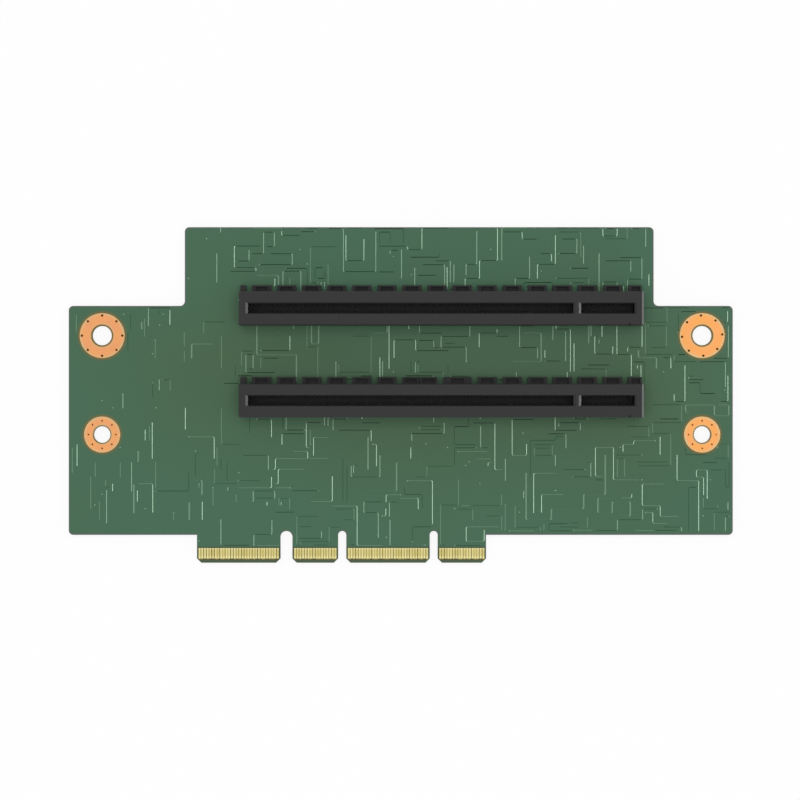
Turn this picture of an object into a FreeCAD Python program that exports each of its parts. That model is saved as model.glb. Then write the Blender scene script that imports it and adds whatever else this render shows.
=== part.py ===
import FreeCAD, Part
import math
import os

# Riser card that carries two vertical card slots and plugs into a host board
# with its own edge tab. Millimetres.
#
# The card lies on its back. X runs along the card's long side, Y runs from the
# edge tab up to the top edge, and Z points out of the side with the slots.
# X = 0 and Y = 0 are the middle of the card's outline, and Z = 0 is its back
# face, so the card stands on Z = 0.

Vector = FreeCAD.Vector
X_AXIS = Vector(1, 0, 0)
Z_AXIS = Vector(0, 0, 1)

# ---- circuit board ----------------------------------------------------------
BOARD_LENGTH = 147.6
BODY_HEIGHT = 50.9          # lower edge up to the two shoulders
BOARD_THICKNESS = 1.57
UPPER_HEIGHT = 17.5         # the narrower part above the shoulders
LEFT_SHOULDER = 25.8        # end of the board to the side of the upper part
RIGHT_SHOULDER = 17.6
CORNER_RADIUS = 1.0
SHOULDER_RADIUS = 1.1       # inner corners where the upper part begins

# ---- edge tab: four segments with a row of fingers on each face -------------
TAB_HEIGHT = 6.2
TAB_INSET = 28.5            # left end of the board to the tab
TAB_CHAMFER = 0.95          # lower corners of each segment
FINGER_COUNTS = (30, 16, 30, 17)
FINGER_PITCH = 0.6
FINGER_WIDTH = 0.44
FINGER_LENGTH = 2.3
SEGMENT_MARGIN = 0.35       # last finger to the side of its segment
NOTCH_WIDTHS = (2.68, 1.83, 1.78)
NOTCH_RISE = 0.86           # round top of a notch above the lower edge
BEVEL_LENGTH = 0.97         # lead-in along the tab's lower edge, both faces
BEVEL_DEPTH = 0.35

# ---- copper and solder mask -------------------------------------------------
COPPER = 0.05               # thickness of copper, level with the mask round it

# ---- screw holes with copper pads on both faces -----------------------------
LEFT_HOLE_INSET = 7.4       # end of the board to the holes
RIGHT_HOLE_INSET = 6.8
UPPER_HOLE_DROP = 6.6       # shoulder down to the upper holes
HOLE_DROP = 22.0            # upper holes down to the lower holes
UPPER_HOLE_RADIUS = 2.15
UPPER_PAD_OUTER = 5.04
UPPER_PAD_GAP = 0.27        # bare laminate between hole and copper
LOWER_HOLE_RADIUS = 1.85
LOWER_PAD_OUTER = 4.06
LOWER_PAD_GAP = 0.15

# ---- card slots -------------------------------------------------------------
SLOT_OFFSET = 8.9           # middle of the board to the middle of the housings
UPPER_SLOT_DROP = 18.23     # top edge of the board down to the upper slot
SLOT_PITCH = 20.32          # one slot to the next
HOUSING_WIDTH = 7.4
HOUSING_HEIGHT = 11.25      # above the board
HOUSING_END_CHAMFER = 0.4
HOUSING_SIDE_CHAMFER = 0.2
END_WALL = 2.0              # housing beyond each end of the card slot
CARD_SPACE_WIDTH = 1.9
CARD_SPACE_FLOOR = 3.0      # bottom of the card slot above the board
KEY_WIDTH = 1.75
LEAD_IN_SIDE = 0.28         # bevels that guide a card into the slot
LEAD_IN_SIDE_DEPTH = 0.8
LEAD_IN_END = 0.5
LEAD_IN_END_DEPTH = 0.35
LIP_HEIGHT = 1.55           # solid rim of the card slot over the contacts
FIRST_MARK_SIZE = 0.45      # notch in the rim beside the first position
FIRST_MARK_DEPTH = 0.8

# ---- contacts ---------------------------------------------------------------
CONTACT_PITCH = 1.0
KEY_TO_CONTACT = 1.5        # middle of the key to the next contact
SHORT_CONTACTS = 11
SHORT_END_ROOM = 1.125      # last contact to the end of the card slot
LONG_CONTACTS = 71
LONG_END_ROOM = 0.875
CONTACT_WIDTH = 0.5
CONTACT_THICKNESS = 0.25
CONTACT_HEEL = 1.9          # half distance between the two rows at the board
TOE_SETBACK = 0.25          # tip of the soldered foot inside the housing's side
CONTACT_BUMP = 0.55         # half gap between the two springs
CONTACT_TIP = 1.2
CONTACT_TIP_RISE = 1.8      # bump up to the tip
TIP_ROOM = 0.5              # tip to the underside of the slot's rim
CHAMBER_CLEARANCE = 0.25    # contact to the walls of its chamber

# ---- how a housing stands on the board --------------------------------------
STANDOFF = 0.35             # underside of the housing above the board
FOOT_DEPTH = 1.54           # comb of feet along the upper long side
FOOT_HEIGHT = 3.0
FOOT_PITCH = 5.56
FOOT_GAP = 1.4
FIRST_FOOT_GAP = 1.25       # end of the housing to the first gap
FOOT_POCKET_WIDTH = 2.7
FOOT_POCKET_DEPTH = 1.1
FOOT_WALL = 0.35            # pocket to the front and to the end of the comb
NARROW_GAP = 0.25           # in the lower comb two gaps lie to one side,
NARROW_GAP_SHIFT = -0.5     # and the first of them is only a slit
MOVED_GAP_SHIFT = -2.1
NARROW_GAP_INDEX = 7
PEG_RADIUS = 1.175
PEG_CLEARANCE = 0.05
PEG_LENGTH = 1.2            # below the board's front face
FAR_PEG_INSET = 1.35        # one peg is under the key, one under the far end

# ---- places worked out from the sizes above ---------------------------------
LEFT = -BOARD_LENGTH / 2
RIGHT = BOARD_LENGTH / 2
TOP = (BODY_HEIGHT + UPPER_HEIGHT + TAB_HEIGHT) / 2
SHOULDER = TOP - UPPER_HEIGHT
LOWER_EDGE = SHOULDER - BODY_HEIGHT
TAB_END = LOWER_EDGE - TAB_HEIGHT
FRONT = BOARD_THICKNESS

UPPER_HOLES_Y = SHOULDER - UPPER_HOLE_DROP
LOWER_HOLES_Y = UPPER_HOLES_Y - HOLE_DROP
LEFT_HOLES_X = LEFT + LEFT_HOLE_INSET
RIGHT_HOLES_X = RIGHT - RIGHT_HOLE_INSET

SHORT_REACH = KEY_TO_CONTACT + (SHORT_CONTACTS - 1) * CONTACT_PITCH + SHORT_END_ROOM
LONG_REACH = KEY_TO_CONTACT + (LONG_CONTACTS - 1) * CONTACT_PITCH + LONG_END_ROOM
HOUSING_LENGTH = LONG_REACH + SHORT_REACH + 2 * END_WALL
HOUSING_LEFT = SLOT_OFFSET - HOUSING_LENGTH / 2
HOUSING_RIGHT = SLOT_OFFSET + HOUSING_LENGTH / 2
CARD_SPACE_LEFT = HOUSING_LEFT + END_WALL
CARD_SPACE_RIGHT = HOUSING_RIGHT - END_WALL
KEY_X = CARD_SPACE_RIGHT - SHORT_REACH
PEGS_X = (KEY_X, HOUSING_LEFT + FAR_PEG_INSET)
CONTACT_TIP_HEIGHT = HOUSING_HEIGHT - LIP_HEIGHT - TIP_ROOM
CONTACT_BUMP_HEIGHT = CONTACT_TIP_HEIGHT - CONTACT_TIP_RISE
SLOT_ROWS = {
    "upper": TOP - UPPER_SLOT_DROP,
    "lower": TOP - UPPER_SLOT_DROP - SLOT_PITCH,
}


def box(x0, x1, y0, y1, z0, z1):
    """Box between two corners."""
    return Part.makeBox(x1 - x0, y1 - y0, z1 - z0, Vector(x0, y0, z0))


def post(radius, x, y, z0, z1):
    """Upright cylinder."""
    return Part.makeCylinder(radius, z1 - z0, Vector(x, y, z0), Z_AXIS)


def prism_along_x(points, x0, x1):
    """Closed outline of (y, z) points, extruded along X."""
    corners = [Vector(x0, y, z) for y, z in points]
    face = Part.Face(Part.makePolygon(corners + corners[:1]))
    return face.extrude(X_AXIS * (x1 - x0))


def prism_along_y(points, y0, y1):
    """Closed outline of (x, z) points, extruded along Y."""
    corners = [Vector(x, y0, z) for x, z in points]
    face = Part.Face(Part.makePolygon(corners + corners[:1]))
    return face.extrude(Vector(0, y1 - y0, 0))


def rounded_face(corners):
    """Flat face on Z = 0 from (x, y, radius) corners; a radius of 0 stays sharp."""
    points = [Vector(x, y, 0) for x, y, radius in corners]
    stations = []
    for index, corner in enumerate(corners):
        point = points[index]
        radius = corner[2]
        if radius == 0:
            stations.append((point, point, None))
            continue
        back = (points[index - 1] - point).normalize()
        ahead = (points[(index + 1) % len(points)] - point).normalize()
        half_angle = back.getAngle(ahead) / 2
        reach = radius / math.tan(half_angle)
        bisector = (back + ahead).normalize()
        middle = point + bisector * (radius / math.sin(half_angle) - radius)
        stations.append((point + back * reach, point + ahead * reach, middle))
    edges = []
    for index, (start, end, middle) in enumerate(stations):
        if middle is not None:
            edges.append(Part.Arc(start, middle, end).toShape())
        following = stations[(index + 1) % len(stations)][0]
        edges.append(Part.LineSegment(end, following).toShape())
    return Part.Face(Part.Wire(edges))


# ---- circuit board ----------------------------------------------------------
def tab_segments():
    """Left and right side of each segment of the tab, from the left."""
    segments = []
    x = LEFT + TAB_INSET
    for index, count in enumerate(FINGER_COUNTS):
        width = (count - 1) * FINGER_PITCH + FINGER_WIDTH + 2 * SEGMENT_MARGIN
        segments.append((x, x + width))
        if index < len(NOTCH_WIDTHS):
            x += width + NOTCH_WIDTHS[index]
    return segments


def board_outline():
    """Corners of the board, counter-clockwise from the lower left."""
    corners = [(LEFT, LOWER_EDGE, CORNER_RADIUS)]
    corners.append((LEFT + TAB_INSET, LOWER_EDGE, 0))
    corners.append((LEFT + TAB_INSET, TAB_END, 0))
    tab_right = tab_segments()[-1][1]
    corners.append((tab_right, TAB_END, 0))
    corners.append((tab_right, LOWER_EDGE, 0))
    corners.append((RIGHT, LOWER_EDGE, CORNER_RADIUS))
    corners.append((RIGHT, SHOULDER, CORNER_RADIUS))
    upper_left = LEFT + LEFT_SHOULDER
    upper_right = RIGHT - RIGHT_SHOULDER
    corners.append((upper_right, SHOULDER, SHOULDER_RADIUS))
    corners.append((upper_right, TOP, CORNER_RADIUS))
    corners.append((upper_left, TOP, CORNER_RADIUS))
    corners.append((upper_left, SHOULDER, SHOULDER_RADIUS))
    corners.append((LEFT, SHOULDER, CORNER_RADIUS))
    return corners


def notch_cut(x0, x1):
    """Open notch between two segments, with a round top."""
    radius = (x1 - x0) / 2
    top = LOWER_EDGE + NOTCH_RISE
    slot = box(x0, x1, TAB_END - 1, top - radius, -1, FRONT + 1)
    return slot.fuse(post(radius, x0 + radius, top - radius, -1, FRONT + 1))


def corner_cut(x, side):
    """45 degree cut at a lower corner of a segment."""
    points = [
        Vector(x, TAB_END, -1),
        Vector(x + side * TAB_CHAMFER, TAB_END, -1),
        Vector(x, TAB_END + TAB_CHAMFER, -1),
    ]
    return Part.Face(Part.makePolygon(points + points[:1])).extrude(Z_AXIS * (FRONT + 2))


def bevel_cut(face_z, inward):
    """Wedge that bevels one face of the tab along its lower edge."""
    points = [
        (TAB_END, face_z),
        (TAB_END + BEVEL_LENGTH, face_z),
        (TAB_END, face_z + inward * BEVEL_DEPTH),
    ]
    segments = tab_segments()
    return prism_along_x(points, segments[0][0], segments[-1][1])


def mask_openings():
    """Shallow openings in the solder mask for fingers and pads, on both faces."""
    segments = tab_segments()
    finger_top = TAB_END + BEVEL_LENGTH + FINGER_LENGTH
    cuts = []
    for z0, z1 in ((0, COPPER), (FRONT - COPPER, FRONT)):
        cuts.append(box(segments[0][0], segments[-1][1], TAB_END, finger_top, z0, z1))
        for pad in screw_pads():
            cuts.append(post(pad["outer"], pad["x"], pad["y"], z0, z1))
    return cuts


def make_board():
    board = rounded_face(board_outline()).extrude(Z_AXIS * FRONT)
    segments = tab_segments()
    cuts = mask_openings()
    for left, right in zip(segments, segments[1:]):
        cuts.append(notch_cut(left[1], right[0]))
    for x0, x1 in segments:
        cuts.append(corner_cut(x0, 1))
        cuts.append(corner_cut(x1, -1))
    cuts.append(bevel_cut(0, 1))
    cuts.append(bevel_cut(FRONT, -1))
    for pad in screw_pads():
        cuts.append(post(pad["hole"], pad["x"], pad["y"], -1, FRONT + 1))
    for row_y in SLOT_ROWS.values():
        for peg_x in PEGS_X:
            cuts.append(post(PEG_RADIUS + PEG_CLEARANCE, peg_x, row_y, -1, FRONT + 1))
    return board.cut(cuts).removeSplitter()


# ---- copper -----------------------------------------------------------------
def screw_pads():
    """The four screw holes with the sizes of their copper pads."""
    upper = {
        "y": UPPER_HOLES_Y,
        "hole": UPPER_HOLE_RADIUS,
        "inner": UPPER_HOLE_RADIUS + UPPER_PAD_GAP,
        "outer": UPPER_PAD_OUTER,
    }
    lower = {
        "y": LOWER_HOLES_Y,
        "hole": LOWER_HOLE_RADIUS,
        "inner": LOWER_HOLE_RADIUS + LOWER_PAD_GAP,
        "outer": LOWER_PAD_OUTER,
    }
    return [
        dict(upper, name="upper_left", x=LEFT_HOLES_X),
        dict(upper, name="upper_right", x=RIGHT_HOLES_X),
        dict(lower, name="lower_left", x=LEFT_HOLES_X),
        dict(lower, name="lower_right", x=RIGHT_HOLES_X),
    ]


def make_pad(pad, z0, z1):
    """Copper ring round a screw hole, on one face."""
    disc = post(pad["outer"], pad["x"], pad["y"], z0, z1)
    return disc.cut(post(pad["inner"], pad["x"], pad["y"], z0, z1))


def make_fingers(segment, count, z0, z1):
    """Row of gold fingers on one face of one segment of the tab."""
    first = segment[0] + SEGMENT_MARGIN
    y0 = TAB_END + BEVEL_LENGTH
    fingers = []
    for index in range(count):
        x0 = first + index * FINGER_PITCH
        fingers.append(box(x0, x0 + FINGER_WIDTH, y0, y0 + FINGER_LENGTH, z0, z1))
    return Part.makeCompound(fingers)


# ---- card slot housings -----------------------------------------------------
def card_sections():
    """Left and right end of the long and of the short section of the card slot."""
    long_section = (CARD_SPACE_LEFT, KEY_X - KEY_WIDTH / 2)
    short_section = (KEY_X + KEY_WIDTH / 2, CARD_SPACE_RIGHT)
    return long_section, short_section


def contact_places():
    """X of each contact in the long and in the short section."""
    long_places = [KEY_X - KEY_TO_CONTACT - CONTACT_PITCH * i for i in range(LONG_CONTACTS)]
    short_places = [KEY_X + KEY_TO_CONTACT + CONTACT_PITCH * i for i in range(SHORT_CONTACTS)]
    return {"long": long_places, "short": short_places}


def lead_in_cuts(x0, x1, y, top):
    """Bevels along the sides and at the ends of one section of the card slot."""
    half = CARD_SPACE_WIDTH / 2
    mouth = half + LEAD_IN_SIDE
    sides = [
        (y - half, top - LEAD_IN_SIDE_DEPTH),
        (y + half, top - LEAD_IN_SIDE_DEPTH),
        (y + mouth, top),
        (y - mouth, top),
    ]
    cuts = [prism_along_x(sides, x0, x1)]
    for end, outward in ((x0, -1), (x1, 1)):
        wedge = [
            (end, top - LEAD_IN_END_DEPTH),
            (end, top),
            (end + outward * LEAD_IN_END, top),
        ]
        cuts.append(prism_along_y(wedge, y - mouth, y + mouth))
    return cuts


def housing_block(y):
    """Outer block with bevelled upper edges."""
    half = HOUSING_WIDTH / 2
    base = FRONT + STANDOFF
    top = FRONT + HOUSING_HEIGHT
    side = HOUSING_SIDE_CHAMFER
    section = [
        (y - half, base),
        (y + half, base),
        (y + half, top - side),
        (y + half - side, top),
        (y - half + side, top),
        (y - half, top - side),
    ]
    block = prism_along_x(section, HOUSING_LEFT, HOUSING_RIGHT)
    cuts = []
    for end, inward in ((HOUSING_LEFT, 1), (HOUSING_RIGHT, -1)):
        wedge = [
            (end, top),
            (end + inward * HOUSING_END_CHAMFER, top),
            (end, top - HOUSING_END_CHAMFER),
        ]
        cuts.append(prism_along_y(wedge, y - half, y + half))
    return block.cut(cuts)


def card_space_cuts(y):
    """Card slot, its lead-ins and the contact chambers on both sides of it."""
    top = FRONT + HOUSING_HEIGHT
    floor = FRONT + CARD_SPACE_FLOOR
    half = CARD_SPACE_WIDTH / 2
    outer_wall = CONTACT_HEEL + CONTACT_THICKNESS + CHAMBER_CLEARANCE
    arm_lean = (CONTACT_HEEL - CONTACT_BUMP) * CARD_SPACE_FLOOR / CONTACT_BUMP_HEIGHT
    spine = CONTACT_HEEL - arm_lean - CHAMBER_CLEARANCE
    cuts = []
    for (x0, x1), places in zip(card_sections(), contact_places().values()):
        cuts.append(box(x0, x1, y - half, y + half, floor, top))
        cuts += lead_in_cuts(x0, x1, y, top)
        end_room = CONTACT_WIDTH / 2 + CHAMBER_CLEARANCE
        first = min(places) - end_room
        last = max(places) + end_room
        cuts.append(box(first, last, y - outer_wall, y + outer_wall, floor, top - LIP_HEIGHT))
        for side in (-1, 1):
            near = y + side * spine
            far = y + side * outer_wall
            cuts.append(box(first, last, min(near, far), max(near, far), FRONT, floor))
    return cuts


def foot_gaps(row):
    """Start and width of each gap in the comb of feet."""
    gaps = []
    start = FIRST_FOOT_GAP
    index = 0
    while start + FOOT_GAP < HOUSING_LENGTH:
        if row == "lower" and index == NARROW_GAP_INDEX:
            gaps.append((start + NARROW_GAP_SHIFT, NARROW_GAP))
        elif row == "lower" and index == NARROW_GAP_INDEX + 1:
            gaps.append((start + MOVED_GAP_SHIFT, FOOT_GAP))
        else:
            gaps.append((start, FOOT_GAP))
        start += FOOT_PITCH
        index += 1
    return gaps


def foot_comb(row, y):
    """Feet along the upper long side, each with a pocket; the last stops at the end."""
    inner = y + HOUSING_WIDTH / 2
    outer = inner + FOOT_DEPTH
    top = FRONT + FOOT_HEIGHT
    comb = box(HOUSING_LEFT, HOUSING_RIGHT, inner, outer, FRONT, top)
    gaps = foot_gaps(row)
    cuts = []
    for start, width in gaps:
        x0 = HOUSING_LEFT + start
        cuts.append(box(x0, x0 + width, inner, outer, FRONT, top))
    after_the_end = (gaps[-1][0] + FOOT_PITCH, FOOT_GAP)
    for (start, width), following in zip(gaps, gaps[1:] + [after_the_end]):
        middle = HOUSING_LEFT + (start + width + following[0]) / 2
        x0 = middle - FOOT_POCKET_WIDTH / 2
        x1 = min(middle + FOOT_POCKET_WIDTH / 2, HOUSING_RIGHT - FOOT_WALL)
        cuts.append(box(x0, x1, inner, outer - FOOT_WALL, top - FOOT_POCKET_DEPTH, top))
    return comb.cut(cuts)


def make_housing(row):
    """One moulded housing: block, card slot, key, feet, standoffs and pegs."""
    y = SLOT_ROWS[row]
    half = HOUSING_WIDTH / 2
    top = FRONT + HOUSING_HEIGHT
    body = housing_block(y).cut(card_space_cuts(y))

    added = [foot_comb(row, y)]
    stands = [
        (HOUSING_LEFT, CARD_SPACE_LEFT),
        (KEY_X - KEY_WIDTH / 2, KEY_X + KEY_WIDTH / 2),
        (CARD_SPACE_RIGHT, HOUSING_RIGHT),
    ]
    for x0, x1 in stands:
        added.append(box(x0, x1, y - half, y + half, FRONT, FRONT + STANDOFF))
    for peg_x in PEGS_X:
        added.append(post(PEG_RADIUS, peg_x, y, FRONT - PEG_LENGTH, FRONT + STANDOFF))
    body = body.fuse(added)

    first_position = max(contact_places()["short"])
    mark_left = first_position - FIRST_MARK_SIZE / 2
    mark_right = first_position + FIRST_MARK_SIZE / 2
    mark_inner = y - half + FIRST_MARK_SIZE
    mark = box(mark_left, mark_right, y - half, mark_inner, top - FIRST_MARK_DEPTH, top)
    return body.cut(mark).removeSplitter()


# ---- contacts ---------------------------------------------------------------
def contact_profile(y, side):
    """Bent strip: tapered foot on the board, leaning spring arm, bump and tip."""
    toe = HOUSING_WIDTH / 2 - TOE_SETBACK
    outline = [
        (CONTACT_HEEL, 0),
        (toe, 0),
        (CONTACT_HEEL + CONTACT_THICKNESS, CONTACT_THICKNESS),
        (CONTACT_BUMP + CONTACT_THICKNESS, CONTACT_BUMP_HEIGHT),
        (CONTACT_TIP, CONTACT_TIP_HEIGHT),
        (CONTACT_BUMP, CONTACT_BUMP_HEIGHT),
    ]
    return [(y + side * across, FRONT + up) for across, up in outline]


def make_contacts(places, y, side):
    """Row of contacts along one side of one section."""
    profile = contact_profile(y, side)
    half = CONTACT_WIDTH / 2
    return Part.makeCompound([prism_along_x(profile, x - half, x + half) for x in places])


# ---- the pieces -------------------------------------------------------------
def make_parts():
    faces = {"front": (FRONT - COPPER, FRONT), "back": (0, COPPER)}
    parts = {"circuit_board": make_board()}
    for pad in screw_pads():
        for face, (z0, z1) in faces.items():
            parts["screw_pad_" + pad["name"] + "_" + face] = make_pad(pad, z0, z1)
    for index, (segment, count) in enumerate(zip(tab_segments(), FINGER_COUNTS)):
        for face, (z0, z1) in faces.items():
            name = "edge_fingers_" + str(index + 1) + "_" + face
            parts[name] = make_fingers(segment, count, z0, z1)
    for row, y in SLOT_ROWS.items():
        parts["slot_housing_" + row] = make_housing(row)
        for section, places in contact_places().items():
            for letter, side in (("a", -1), ("b", 1)):
                name = "slot_contacts_" + row + "_" + section + "_row_" + letter
                parts[name] = make_contacts(places, y, side)
    return parts


os.makedirs("parts", exist_ok=True)
for name, shape in make_parts().items():
    shape.exportStep("parts/" + name + ".step")
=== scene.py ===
import math
import random

import bmesh
import bpy
from bpy.props import FloatProperty, FloatVectorProperty, IntProperty, PointerProperty
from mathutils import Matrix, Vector


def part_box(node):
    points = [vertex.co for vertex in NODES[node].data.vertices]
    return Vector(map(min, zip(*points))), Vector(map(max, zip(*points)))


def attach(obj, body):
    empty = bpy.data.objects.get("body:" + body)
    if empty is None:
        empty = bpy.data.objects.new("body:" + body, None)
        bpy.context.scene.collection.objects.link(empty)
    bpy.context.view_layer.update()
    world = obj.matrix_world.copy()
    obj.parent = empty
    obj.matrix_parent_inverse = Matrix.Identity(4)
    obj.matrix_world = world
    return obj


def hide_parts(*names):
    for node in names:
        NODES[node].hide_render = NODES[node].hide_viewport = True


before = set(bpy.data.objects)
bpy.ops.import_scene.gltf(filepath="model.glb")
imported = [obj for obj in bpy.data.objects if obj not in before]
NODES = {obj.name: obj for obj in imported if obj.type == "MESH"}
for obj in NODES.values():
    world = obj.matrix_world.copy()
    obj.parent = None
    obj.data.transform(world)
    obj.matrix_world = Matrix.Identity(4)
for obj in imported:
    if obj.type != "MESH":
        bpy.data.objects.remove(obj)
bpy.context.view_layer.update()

# Looks of a riser card with two vertical card slots and an edge tab. Metres.
# The card lies on its back: X runs along its long side, Y from the edge tab up
# to the top edge, and Z points out of the side that carries the slots.

bl_info = {
    "name": "Riser Card Finish",
    "version": (1, 0, 0),
    "blender": (4, 5, 0),
    "location": "View3D > Sidebar > Riser Card",
    "description": "Tracks, pads, contact chambers, solder and finishes of a card slot riser board",
    "category": "Object",
}

MM = 0.001
BODY = "root"
BOARD_LOW, BOARD_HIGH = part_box("circuit_board")
FRONT = BOARD_HIGH.z
BACK = BOARD_LOW.z
FACES = {"front": (FRONT, 1), "back": (BACK, -1)}     # height of a face and the way it looks
SLOTS = ("upper", "lower")
SECTIONS = ("long", "short")
SEGMENTS = ("1", "2", "3", "4")
ROWS = {"a": -1, "b": 1}                              # contact rows below and above a slot's middle


def colour(red, green, blue):
    """Linear colour from the three parts of a screen colour, each 0 to 255."""
    parts = [part / 255 for part in (red, green, blue)]
    return [part / 12.92 if part <= 0.04045 else ((part + 0.055) / 1.055) ** 2.4 for part in parts]


def length(name, description, default):
    """A size that the user can change."""
    return FloatProperty(name=name, description=description, default=default, min=0, unit="LENGTH")


def count(name, description, default, least=0):
    """A whole number that the user can change."""
    return IntProperty(name=name, description=description, default=default, min=least)


def amount(name, description, default, most=1000):
    """A plain number that the user can change."""
    return FloatProperty(name=name, description=description, default=default, min=0, max=most)


def tint(name, description, default):
    """A colour that the user can change."""
    return FloatVectorProperty(
        name=name, description=description, default=default, size=3, min=0, max=1, subtype="COLOR"
    )


# ---- sizes and colours that a user would change -----------------------------
class TrackSettings(bpy.types.PropertyGroup):
    grid: length("Grid", "Distance between the lines that tracks run on", 0.8 * MM)
    edge_room: length("Edge Room", "Mask left free above a track", 0.15 * MM)
    side_room: length("Side Room", "Mask left free beside and below a track", 0.38 * MM)
    rim: length("Rim", "Width of the bare strip along the board's outline", 0.26 * MM)
    relief: amount("Relief", "Height of a track as a share of half its width", 0.28, most=1)
    corner: length("Corner", "Cut corner where a track turns", 0.22 * MM)
    via_radius: length("Via Radius", "Radius of a covered via", 0.14 * MM)
    via_height: length("Via Height", "Height of a covered via above the mask", 0.03 * MM)
    chains: count("Tracks", "Tracks tried on the busy part", 300)
    edge_chains: count("Edge Tracks", "Tracks tried from the edges inwards", 110)
    dashes: count("Dashes", "Short tracks tried on the quiet end", 66)
    loose_vias: count("Loose Vias", "Covered vias away from any track", 52)
    seed: count("Seed", "Number that decides the routing", 11)


class PadSettings(bpy.types.PropertyGroup):
    relief: length("Relief", "Gap between the copper and the mask opening", 0.04 * MM)
    edge: length("Edge", "Rounding of the copper's edges", 0.012 * MM)
    via_radius: length("Via Radius", "Radius of a via hole at an upper pad", 0.28 * MM)
    small_via_radius: length("Small Via Radius", "Radius of a via hole at a lower pad", 0.19 * MM)
    via_circle: amount("Via Circle", "Place of the vias between hole and rim at an upper pad", 0.8, most=1)
    small_via_circle: amount("Small Via Circle", "The same at a lower pad", 0.52, most=1)
    vias: count("Vias", "Vias round each screw hole", 8, least=1)


class ChamberSettings(bpy.types.PropertyGroup):
    pitch: length("Pitch", "Distance from one contact to the next", 1.0 * MM)
    contact_width: length("Contact Width", "Width of a contact's strip", 0.5 * MM)
    rib: length("Rib", "Thickness of the wall between two contacts", 0.32 * MM)
    card_space: length("Card Space", "Width of the card slot", 1.9 * MM)
    depth: length("Depth", "Depth of a chamber beside the card slot", 1.45 * MM)
    floor: length("Floor", "Bottom of the card slot above the board", 3.0 * MM)
    rim: length("Rim", "Height of the solid rim over the chambers", 1.55 * MM)


class SolderSettings(bpy.types.PropertyGroup):
    reach: length("Reach", "Solder beyond the tip of a foot", 0.17 * MM)
    height: length("Height", "Height of the solder at the foot", 0.16 * MM)
    land_length: length("Land Length", "Length of the copper land under a foot", 1.3 * MM)
    land_thickness: length("Land Thickness", "Thickness of a land", 0.035 * MM)


class FinishSettings(bpy.types.PropertyGroup):
    mask: tint("Solder Mask", "Mask over bare laminate", colour(57, 96, 72))
    # Olive Tint goes onto the middle of the board round the slots and into broad patches.
    mask_olive: tint("Olive Tint", "Mask where the inner copper shows through", colour(60, 90, 61))
    # Track Sheen is partly the paler copper under the mask and mostly a painted sheen from the light at the
    # right; Track Shade is painted shade on track sides that face away from it.
    track_sheen: tint("Track Sheen", "Mask over a track: paler copper under it and painted sheen", colour(190, 226, 196))
    track_shade: tint("Track Shade", "Mask over a track: painted shade", colour(8, 34, 14))
    rim: tint("Rim", "Bare laminate along the outline of both faces", colour(92, 100, 95))
    laminate: tint("Laminate", "Glass laminate at the edges", colour(76, 90, 66))
    laminate_dark: tint("Laminate Core", "Darker layers of the laminate", colour(50, 62, 38))
    resin: tint("Resin", "Bare laminate between the fingers", colour(172, 156, 88))
    resin_dark: tint("Dark Resin", "The same where it is thin", colour(92, 80, 32))
    scorched: tint("Scorched Resin", "Bare laminate round the screw pads", colour(112, 92, 38))
    copper: tint("Copper", "Copper of the screw pads", colour(243, 170, 96))
    copper_dull: tint("Dull Copper", "Copper where it has dulled", colour(232, 163, 114))
    # Copper Rim Highlight is a painted highlight along a pad's rims, its strength varied by random patches.
    copper_rim: tint("Copper Rim", "Copper that has paled at a pad's rims", colour(206, 187, 143))
    # Copper Hole Shade is painted shade along the edge of a screw hole.
    copper_bore: tint("Copper Bore", "Copper that has darkened round the hole", colour(140, 106, 66))
    via: tint("Via", "Plug in a via", colour(92, 56, 8))
    gold: tint("Gold", "Gold of the fingers", colour(222, 213, 150))
    gold_dark: tint("Worn Gold", "Gold where it has been wiped", colour(202, 188, 116))
    gold_pale: tint("Pale Gold", "Gold at both ends of a finger", colour(240, 233, 176))
    housing: tint("Housing", "Moulded plastic of the slots", colour(35, 35, 35))
    contact: tint("Contact", "Contacts inside the slots", colour(84, 81, 74))
    solder: tint("Solder", "Solder at the feet", colour(196, 198, 200))


class StageSettings(bpy.types.PropertyGroup):
    camera_height: length("Camera Height", "Camera above the board's front face", 0.95)
    camera_x: FloatProperty(
        name="Camera X", description="Camera along the card", default=-0.171 * MM, unit="LENGTH"
    )
    camera_y: FloatProperty(
        name="Camera Y", description="Camera across the card", default=-1.115 * MM, unit="LENGTH"
    )
    lens: FloatProperty(name="Lens", description="Focal length in millimetres", default=192.3, min=1)
    floor: tint("Floor", "Floor under the card", colour(250, 250, 250))
    sky: amount("Sky", "Light that comes from all round", 0.47)
    overhead: amount("Overhead", "Power of the softbox above, in watts", 11.5)
    side: amount("Side", "Power of the sheen strip at the right, in watts", 13)


SETTINGS = {
    "riser_tracks": TrackSettings,
    "riser_pads": PadSettings,
    "riser_chambers": ChamberSettings,
    "riser_solder": SolderSettings,
    "riser_finish": FinishSettings,
    "riser_stage": StageSettings,
}


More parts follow.
